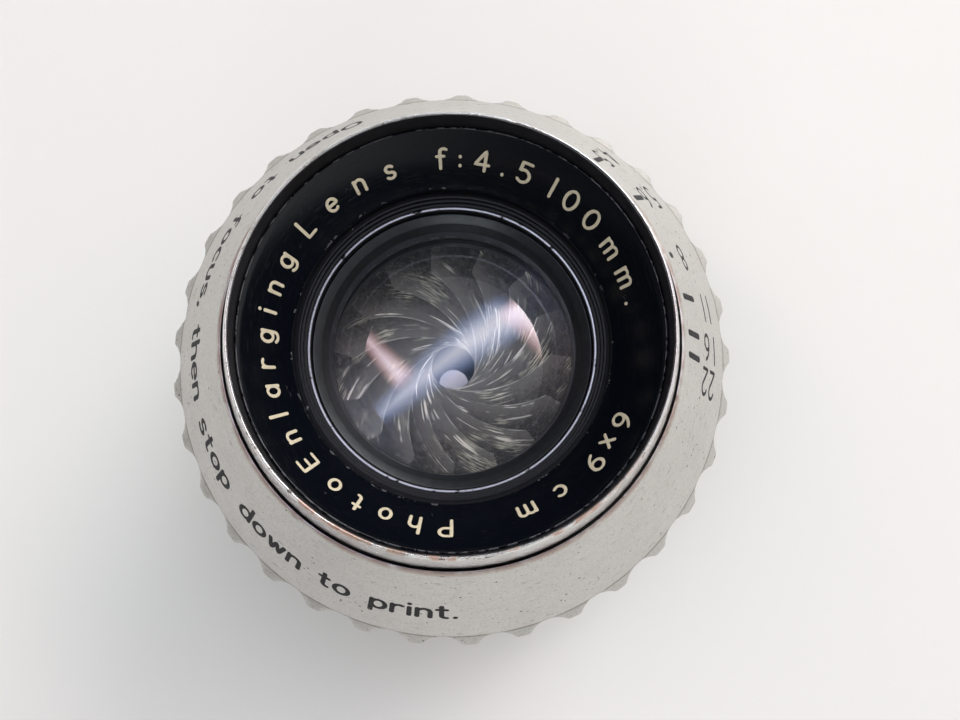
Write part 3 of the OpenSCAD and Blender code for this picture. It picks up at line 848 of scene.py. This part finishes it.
def mount_barrel():
    """Its outline is fine where the thread is cut and coarse elsewhere."""
    corners = [(14.5, -20.6), (19.1, -20.6), (THREAD_R, THREAD_LOW), (THREAD_R, -14.6), (24.6, -14.6, 0.1),
               (25.0, -14.2, 0.1), (25.0, -11.95, 0.1), (24.7, -11.62, 0.05), (18.85, -11.62),
               (18.85, -10.3), (14.5, -10.3)]
    keep = []
    for r, z in finer(rounded(corners, 3), 0.075):
        near_thread = abs(r - THREAD_R) < 0.02 and THREAD_LOW - 0.1 < z < THREAD_HIGH + 0.25
        if near_thread or not keep or math.hypot(r - keep[-1][0], z - keep[-1][1]) > 0.3:
            keep.append((r, z))
    turned("threaded_mount_barrel", keep, MOUNT_BLACK, FIXED, ["mount_barrel"],
           segments=300, shape=thread_shape)


def main_barrel():
    corners = [(18.9, -11.6), (26, -11.6, 0.08), (26, -9.5, 0.1), (25.7, -9.2, 0.08), (22.45, -9.2),
               (22.45, 7.4), (19.75, 7.4), (19.75, 13.5), (18.6, 13.5), (18.6, 2), (14.6, 2), (14.6, -4),
               (18.9, -4)]
    turned("main_barrel_shell", rounded(corners, 3), MOUNT_BLACK, FIXED,
           ["main_barrel"])


def rear_cell():
    corners = [(11, -22.15), (11, -16.5), (14.45, -16.5), (14.45, -20.65), (17.2, -20.65, 0.06),
               (17.2, FLOOR_Z + 0.7, 0.12), (16.5, FLOOR_Z, 0.12), (13.2, FLOOR_Z, 0.08),
               (12.7, FLOOR_Z + 0.5, 0.06), (12.7, -30.0), (11.65, -30.0), (11.65, -22.15)]
    turned("rear_cell_shell", rounded(corners, 3), MOUNT_BLACK, FIXED, ["rear_cell"],
           segments=256)


# -------------------------------- CAD nodes that stay
def repaint(node, material):
    made = frame["nodes"][node]
    made.data.materials.clear()
    made.data.materials.append(material)
    made.data.shade_smooth()


# -------------------------------- engraving
def arc(x, y, wide, tall, start, end):
    """An arc of an ellipse as points, from one angle to another."""
    steps = max(3, round(abs(end - start) / 20))
    angles = [math.radians(start + (end - start) * k / steps) for k in range(steps + 1)]
    return [(x + wide * math.cos(a), y + tall * math.sin(a)) for a in angles]


def oval(x, y, wide, tall):
    return arc(x, y, wide, tall, 90, 450)


def dot(x, y):
    return [(x, y - 0.015), (x, y + 0.015)]


# Single-stroke letters: a width and strokes, in units of the capitals' height
SIX = [arc(0.54, 0.30, 0.54, 0.70, 105, 180), oval(0.27, 0.29, 0.27, 0.29)]
BOWL = oval(0.23, 0.32, 0.23, 0.32)
LETTERS = {
    "0": (0.58, [oval(0.29, 0.5, 0.29, 0.5)]),
    "1": (0.06, [[(0.03, 0), (0.03, 1)]]),
    "2": (0.54, [arc(0.27, 0.73, 0.27, 0.27, 165, -35) + [(0, 0), (0.56, 0)]]),
    "4": (0.60, [[(0.44, 0), (0.44, 1), (0, 0.30), (0.60, 0.30)]]),
    "5": (0.54, [[(0.50, 1), (0.10, 1), (0.06, 0.57)] + arc(0.25, 0.32, 0.29, 0.32, 125, -140)]),
    "6": (0.54, SIX),
    "8": (0.52, [oval(0.26, 0.76, 0.21, 0.24), oval(0.26, 0.27, 0.26, 0.27)]),
    "9": (0.54, [[(0.54 - x, 1 - y) for x, y in stroke] for stroke in SIX]),
    ".": (0.06, [dot(0.03, 0.03)]),
    ",": (0.08, [[(0.06, 0.06), (0, -0.14)]]),
    ":": (0.06, [dot(0.03, 0.14), dot(0.03, 0.60)]),
    "E": (0.48, [[(0.48, 1), (0, 1), (0, 0), (0.48, 0)], [(0, 0.52), (0.40, 0.52)]]),
    "L": (0.44, [[(0, 1), (0, 0), (0.44, 0)]]),
    "O": (0.64, [oval(0.32, 0.5, 0.32, 0.5)]),
    "P": (0.50, [[(0, 0), (0, 1), (0.26, 1)] + arc(0.26, 0.75, 0.24, 0.25, 90, -90) + [(0, 0.5)]]),
    "a": (0.46, [BOWL, [(0.46, 0.64), (0.46, 0)]]),
    "c": (0.42, [arc(0.25, 0.32, 0.25, 0.32, 50, 310)]),
    "d": (0.46, [BOWL, [(0.46, 1), (0.46, 0)]]),
    "e": (0.46, [[(0.01, 0.33), (0.46, 0.33)] + arc(0.24, 0.32, 0.24, 0.32, 5, 310)]),
    "f": (0.34, [arc(0.30, 0.82, 0.16, 0.18, 50, 180) + [(0.14, 0)], [(0, 0.62), (0.30, 0.62)]]),
    "g": (0.46, [BOWL, [(0.46, 0.64)] + arc(0.23, -0.08, 0.23, 0.20, 0, -150)]),
    "h": (0.44, [[(0, 1), (0, 0)], arc(0.22, 0.42, 0.22, 0.22, 180, 0) + [(0.44, 0)]]),
    "i": (0.06, [[(0.03, 0.62), (0.03, 0)], dot(0.03, 0.90)]),
    "l": (0.06, [[(0.03, 1), (0.03, 0)]]),
    "m": (0.72, [[(0, 0.64), (0, 0)], arc(0.18, 0.46, 0.18, 0.18, 180, 0) + [(0.36, 0)],
                 arc(0.54, 0.46, 0.18, 0.18, 180, 0) + [(0.72, 0)]]),
    "n": (0.42, [[(0, 0.64), (0, 0)], arc(0.21, 0.42, 0.21, 0.22, 180, 0) + [(0.42, 0)]]),
    "o": (0.48, [oval(0.24, 0.32, 0.24, 0.32)]),
    "p": (0.46, [[(0, 0.64), (0, -0.28)], BOWL]),
    "r": (0.30, [[(0, 0.64), (0, 0)], arc(0.22, 0.36, 0.22, 0.28, 180, 60)]),
    "s": (0.38, [arc(0.19, 0.48, 0.17, 0.16, 35, 270) + arc(0.19, 0.16, 0.19, 0.16, 90, -145)]),
    "t": (0.32, [[(0.14, 0.90)] + arc(0.30, 0.16, 0.16, 0.16, 180, 270), [(0, 0.64), (0.30, 0.64)]]),
    "u": (0.42, [[(0, 0.64)] + arc(0.21, 0.21, 0.21, 0.21, 180, 360) + [(0.42, 0.64)]]),
    "w": (0.60, [[(0, 0.64), (0.15, 0), (0.30, 0.60), (0.45, 0), (0.60, 0.64)]]),
    "x": (0.42, [[(0, 0.64), (0.42, 0)], [(0, 0), (0.42, 0.64)]]),
    " ": (0.34, []),
}
# A stroke's cross-section: shares of half its width and of its height off the surface
SECTION = [(-1.0, -0.03), (-0.8, 0.6), (-0.3, 1.0), (0.3, 1.0), (0.8, 0.6), (1.0, -0.03)]
STROKE_PROUD = 0.014
STROKE_STEP = 0.16


def cone(foot, top):
    """A cone's surface: place(degrees, mm up the slant, mm off it) and the radius at mm up the slant."""
    (r0, z0), (r1, z1) = foot, top
    length = math.hypot(r1 - r0, z1 - z0)
    along = ((r1 - r0) / length, (z1 - z0) / length)
    off = (along[1], -along[0]) if along[0] < 0 else (-along[1], along[0])

    def place(degrees, up, lift):
        return P(r0 + along[0] * up + off[0] * lift, degrees, z0 + along[1] * up + off[1] * lift)

    return place, lambda up: r0 + along[0] * up


def stroke_mesh(points, width, vertices, faces, put):
    """A stroke with round ends and a low rounded top, swept along points and put on its surface."""
    path = []
    for a, b in zip(points, points[1:]):
        cuts = max(1, math.ceil(math.dist(a, b) / STROKE_STEP))
        path += [(a[0] + (b[0] - a[0]) * k / cuts, a[1] + (b[1] - a[1]) * k / cuts) for k in range(cuts)]
    path.append(points[-1])
    closed = math.dist(path[0], path[-1]) < 1e-6
    if closed:
        path.pop()
    count = len(path)
    spots = []
    for i, at in enumerate(path):
        before = path[i - 1] if closed or i else at
        after = path[(i + 1) % count] if closed or i < count - 1 else at
        away = Vector((after[0] - before[0], after[1] - before[1])).normalized()
        spots.append((Vector(at), away, 1.0))
    if not closed:
        for end, sign in ((0, -1), (-1, 1)):
            at, away, _ = spots[end]
            reach = away * sign * width / 2
            caps = [(at + reach * math.sin(a), away, math.cos(a)) for a in (0.5, 1.0, 1.35)]
            spots = spots + caps if sign == 1 else list(reversed(caps)) + spots
    first = len(vertices)
    sides = len(SECTION)
    for at, away, share in spots:
        across = Vector((-away.y, away.x))
        for out, high in SECTION:
            spot = at + across * out * width / 2 * share
            lift = high * STROKE_PROUD * (share ** 0.5 if high > 0 else 1)
            vertices.append(put(spot.x, spot.y, lift))
    rows = len(spots)
    for i in range(rows if closed else rows - 1):
        a, b = first + i * sides, first + (i + 1) % rows * sides
        for k in range(sides):
            faces.append((a + k, a + (k + 1) % sides, b + (k + 1) % sides, b + k))
    if not closed:
        faces.append(tuple(first + k for k in reversed(range(sides))))
        faces.append(tuple(first + (rows - 1) * sides + k for k in range(sides)))


def engraving(name, strokes, material, body):
    """One piece from strokes, each (points, width, put)."""
    vertices, faces = [], []
    for points, width, put in strokes:
        stroke_mesh(points, width, vertices, faces, put)
    piece(name, vertices, faces, [material], body)


def inscribed(text, start, end, height, middle, width, surface, clockwise):
    """Strokes of a text spread evenly from one direction to another, up the surface's slant at middle."""
    place, radius = surface
    sizes = [LETTERS[c][0] for c in text]
    at_r = radius(middle)
    spread = math.radians(abs(end - start)) * at_r / height
    gap = (spread - sum(sizes)) / (len(text) - 1)
    turn = -1 if clockwise else 1
    found, x = [], 0.0
    for c, size in zip(text, sizes):
        def put(u, v, lift, x=x):
            degrees = start + turn * math.degrees((x + u / height) * height / at_r)
            return place(degrees, middle + v - height / 2, lift)
        for stroke in LETTERS[c][1]:
            found.append(([(u * height, v * height) for u, v in stroke], width, put))
        x += size + gap
    return found


NAME_CONE = cone((14.84, 9.55), (18.93, 14.48))
RING_CONE = cone((CONE_BASE_R, 0.0), (CONE_FRONT_R, CONE_H))


def name_engraving():
    height, middle, width = 2.1, 3.25, 0.33
    words = [("Photo", -90, -130), ("Enlarging", -137, -207), ("Lens", -216, -251), ("f:4.5", -265, -295),
             ("100", -303, -321), ("mm.", -327, -348), ("6x9", -24, -43), ("cm", -53, -69)]
    strokes = []
    for text, start, end in words:
        strokes += inscribed(text, start, end, height, middle, width, NAME_CONE, True)
    engraving("name_ring_lettering", strokes, CREAM, FIXED)


def ring_wording():
    height, middle, width = 2.9, 6.1, 0.50
    text = "Open to focus, then stop down to print."
    strokes = inscribed(text, 112, 271, height, middle, width, RING_CONE, False)
    engraving("aperture_ring_wording", strokes, CHARCOAL, TURNING)


def aperture_scale():
    """A tick and its number for each stop, where the blades' hole has that f-number's size."""
    place, radius = RING_CONE
    digit, stretch, middle = 2.5, 1.15, 6.0
    low, low_short, high = 9.3, 12.0, 12.6
    strokes = []
    for label, shift, outer in (("4.5", 0, 4.0), ("5.6", 0, 4.0), ("8", 0, 7.8), ("11", -1.2, 4.2),
                                ("16", -1.5, 4.0), ("22", -4.0, 4.0)):
        hole = OPEN_R * WIDEST_STOP / float(label)
        swing = 2 * math.degrees(math.asin((OPEN_R - hole) / (2 * PIVOT_R)))
        heading = INDEX_HEADING + RING_TRAVEL - 2 * swing

        def tick(u, v, lift, heading=heading):
            return place(heading + math.degrees(u / radius(v)), v, lift)

        foot = low if len(label) > 1 else low_short
        strokes.append(([(0, foot), (0, high)], 0.60, tick))
        x = 0.0
        for c in label:
            def put(u, v, lift, x=x, heading=heading, shift=shift, outer=outer):
                up = outer + x + u - digit * 0.25
                return place(heading + shift + math.degrees((digit / 2 - v) / radius(middle)), up, lift)
            for stroke in LETTERS[c][1]:
                strokes.append(([(u * digit * stretch, v * digit) for u, v in stroke], 0.36, put))
            x += LETTERS[c][0] * digit * stretch + (1.0 if c != "1" else 1.9)
    engraving("aperture_scale", strokes, CHARCOAL, TURNING)


def index_mark():
    place = cone(BEZEL_FOOT, BEZEL_SHOULDER)[0]
    middle_r = 20.0

    def put(u, v, lift):
        return place(INDEX_HEADING + math.degrees(u / middle_r), v, lift)

    engraving("index_mark", [([(0, 0.7), (0, 2.6)], 0.30, put)], CHARCOAL, FIXED)


# -------------------------------- stage
TARGET = (0, 0, 0.02)
TABLE_HALF = 1.5
CAMERA_PLACE = (0.00063, -0.0166, BASE_Z + 0.110)
CAMERA_AIM = (0.019, 0.148, -0.9887)
CEILING = 0.24
WALLS = (0.10, 0.80)
COOL = (0.34, 0.56, 1.0)
PINK = (1.0, 0.60, 0.50)
FADE_ENDS = 0.16
FADE_SIDES = 0.42


def stage():
    """A plain table under the object."""
    mesh = bpy.data.meshes.new("table")
    corners = [(x * TABLE_HALF, y * TABLE_HALF, cad_low.z) for x, y in ((-1, -1), (1, -1), (1, 1), (-1, 1))]
    mesh.from_pydata(corners, [], [(0, 1, 2, 3)])
    mesh.materials.append(table_top())
    placed("table", mesh)


def look(seer, place, forward, right):
    """Aims a camera or lamp by hand, so that its roll is set too."""
    back = -Vector(forward).normalized()
    side = Vector(right)
    side = (side - back * side.dot(back)).normalized()
    top = back.cross(side)
    turn = Matrix((side, top, back)).transposed().to_4x4()
    seer.matrix_world = Matrix.Translation(Vector(place)) @ turn


def camera():
    data = bpy.data.cameras.new("camera")
    data.sensor_width = 36.0
    data.lens = 41.25
    data.clip_start, data.clip_end = 0.002, 10.0
    made = placed("camera", data)
    look(made, CAMERA_PLACE, CAMERA_AIM, (1, 0, 0.019))
    bpy.context.scene.camera = made


def lamp(name, place, size, power, colour, right=(1, 0, 0), rim=None, taper=0.0, mirrored=True):
    """A flat lamp aimed at the object. With a rim colour it fades out towards its edges, and taper
    narrows it along its length. mirrored tells whether it shows in glossy faces."""
    data = bpy.data.lights.new(name, "AREA")
    data.shape = "RECTANGLE"
    data.size, data.size_y = size
    data.energy = power
    data.color = colour
    if rim:
        fade(data, rim, taper)
    made = placed(name, data)
    made.visible_glossy = mirrored
    look(made, place, Vector(TARGET) - Vector(place), right)


def fade(data, rim, taper):
    """Dims a lamp from its middle to its edges, through the rim colour."""
    data.use_nodes = True
    tree = data.node_tree

    def reckon(operation, a, b):
        return add_node(tree, "ShaderNodeMath", {0: a, 1: b}, operation=operation).outputs[0]

    def rise(value, top):
        made = add_node(tree, "ShaderNodeMapRange", {0: value, 2: top}, interpolation_type="SMOOTHSTEP")
        return made.outputs[0]

    where = tree.nodes.new("ShaderNodeNewGeometry").outputs["Parametric"]
    along, across, _ = add_node(tree, "ShaderNodeSeparateXYZ", {0: where}).outputs
    end = reckon("PINGPONG", along, 0.5)
    side = reckon("ABSOLUTE", reckon("SUBTRACT", across, 0.5), 0.0)
    half = reckon("SUBTRACT", 0.5, reckon("MULTIPLY", along, 0.5 * taper))
    inside = reckon("MAXIMUM", reckon("SUBTRACT", half, side), 0.0)
    glow = reckon("MULTIPLY", rise(end, FADE_ENDS), rise(inside, FADE_SIDES))
    tint = add_node(tree, "ShaderNodeMix", {0: glow, 6: rgb(*rim), 7: rgb(1, 1, 1)}, data_type="RGBA")
    emission = tree.nodes["Emission"]
    tree.links.new(tint.outputs[2], emission.inputs["Color"])
    tree.links.new(glow, emission.inputs["Strength"])


def room():
    """A dim ceiling over paler walls, the brightest to the right."""
    world = bpy.data.worlds.new("studio")
    bpy.context.scene.world = world
    world.use_nodes = True
    tree = world.node_tree
    way = tree.nodes.new("ShaderNodeTexCoord").outputs["Generated"]

    def slope(toward, low, high, bottom, top):
        lean = add_node(tree, "ShaderNodeVectorMath", {0: way, 1: toward}, operation="DOT_PRODUCT")
        made = add_node(tree, "ShaderNodeMapRange",
                        {0: lean.outputs["Value"], 1: low, 2: high, 3: bottom, 4: top},
                        interpolation_type="SMOOTHSTEP")
        return made.outputs[0]

    ceiling = slope((0, 0, 1), 0.35, 0.90, 1.0, CEILING)
    walls = slope((0.95, 0.30, 0), -0.95, 0.95, *WALLS)
    both = add_node(tree, "ShaderNodeMath", {0: ceiling, 1: walls}, operation="MULTIPLY")
    background = tree.nodes["Background"]
    background.inputs["Color"].default_value = rgb(1.0, 0.995, 0.98)
    tree.links.new(both.outputs[0], background.inputs["Strength"])


def lights():
    room()
    lamp("key", (1.60, 2.45, 1.45), (1.9, 1.9), 54.0, (1.0, 0.97, 0.92))
    lamp("sky", (-0.30, 0.1, 1.60), (2.4, 2.4), 11.0, (1.0, 0.985, 0.955), mirrored=False)
    lamp("fill", (-0.12, -1.00, 0.66), (0.50, 0.12), 1.4, (0.97, 0.98, 1.0))
    lamp("strip", (-0.055, 0.055, 0.75), (1.24, 0.38), 6.6, (0.92, 0.91, 1.0),
         right=(-0.79, -0.61, 0), rim=COOL, taper=0.55)
    lamp("wedge", (0.590, 0.220, 0.75), (0.80, 0.44), 7.6, (1.0, 0.85, 0.87),
         right=(0.66, -0.75, 0), rim=PINK, taper=0.70)
    lamp("crescent", (-0.51, 0.20, 0.75), (0.84, 0.26), 3.4, (1.0, 0.80, 0.85),
         right=(-0.72, 0.69, 0), rim=PINK, taper=0.80)


camera()
stage()
lights()
aperture_ring()
front_bezel()
name_ring()
front_cell()
front_retaining_ring()
glasses()
for blade_node in BLADE_NODES:
    blade(blade_node)
main_barrel()
mount_barrel()
rear_cell()
name_engraving()
ring_wording()
aperture_scale()
index_mark()
for node_name in ("iris_base_plate", "iris_cam_ring", "middle_cell", "middle_retaining_ring",
                  "rear_retaining_ring"):
    repaint(node_name, BLACK)
for node_name in ("iris_snap_ring", "drive_screws"):
    repaint(node_name, STEEL)

bpy.context.scene.view_settings.view_transform = "Standard"
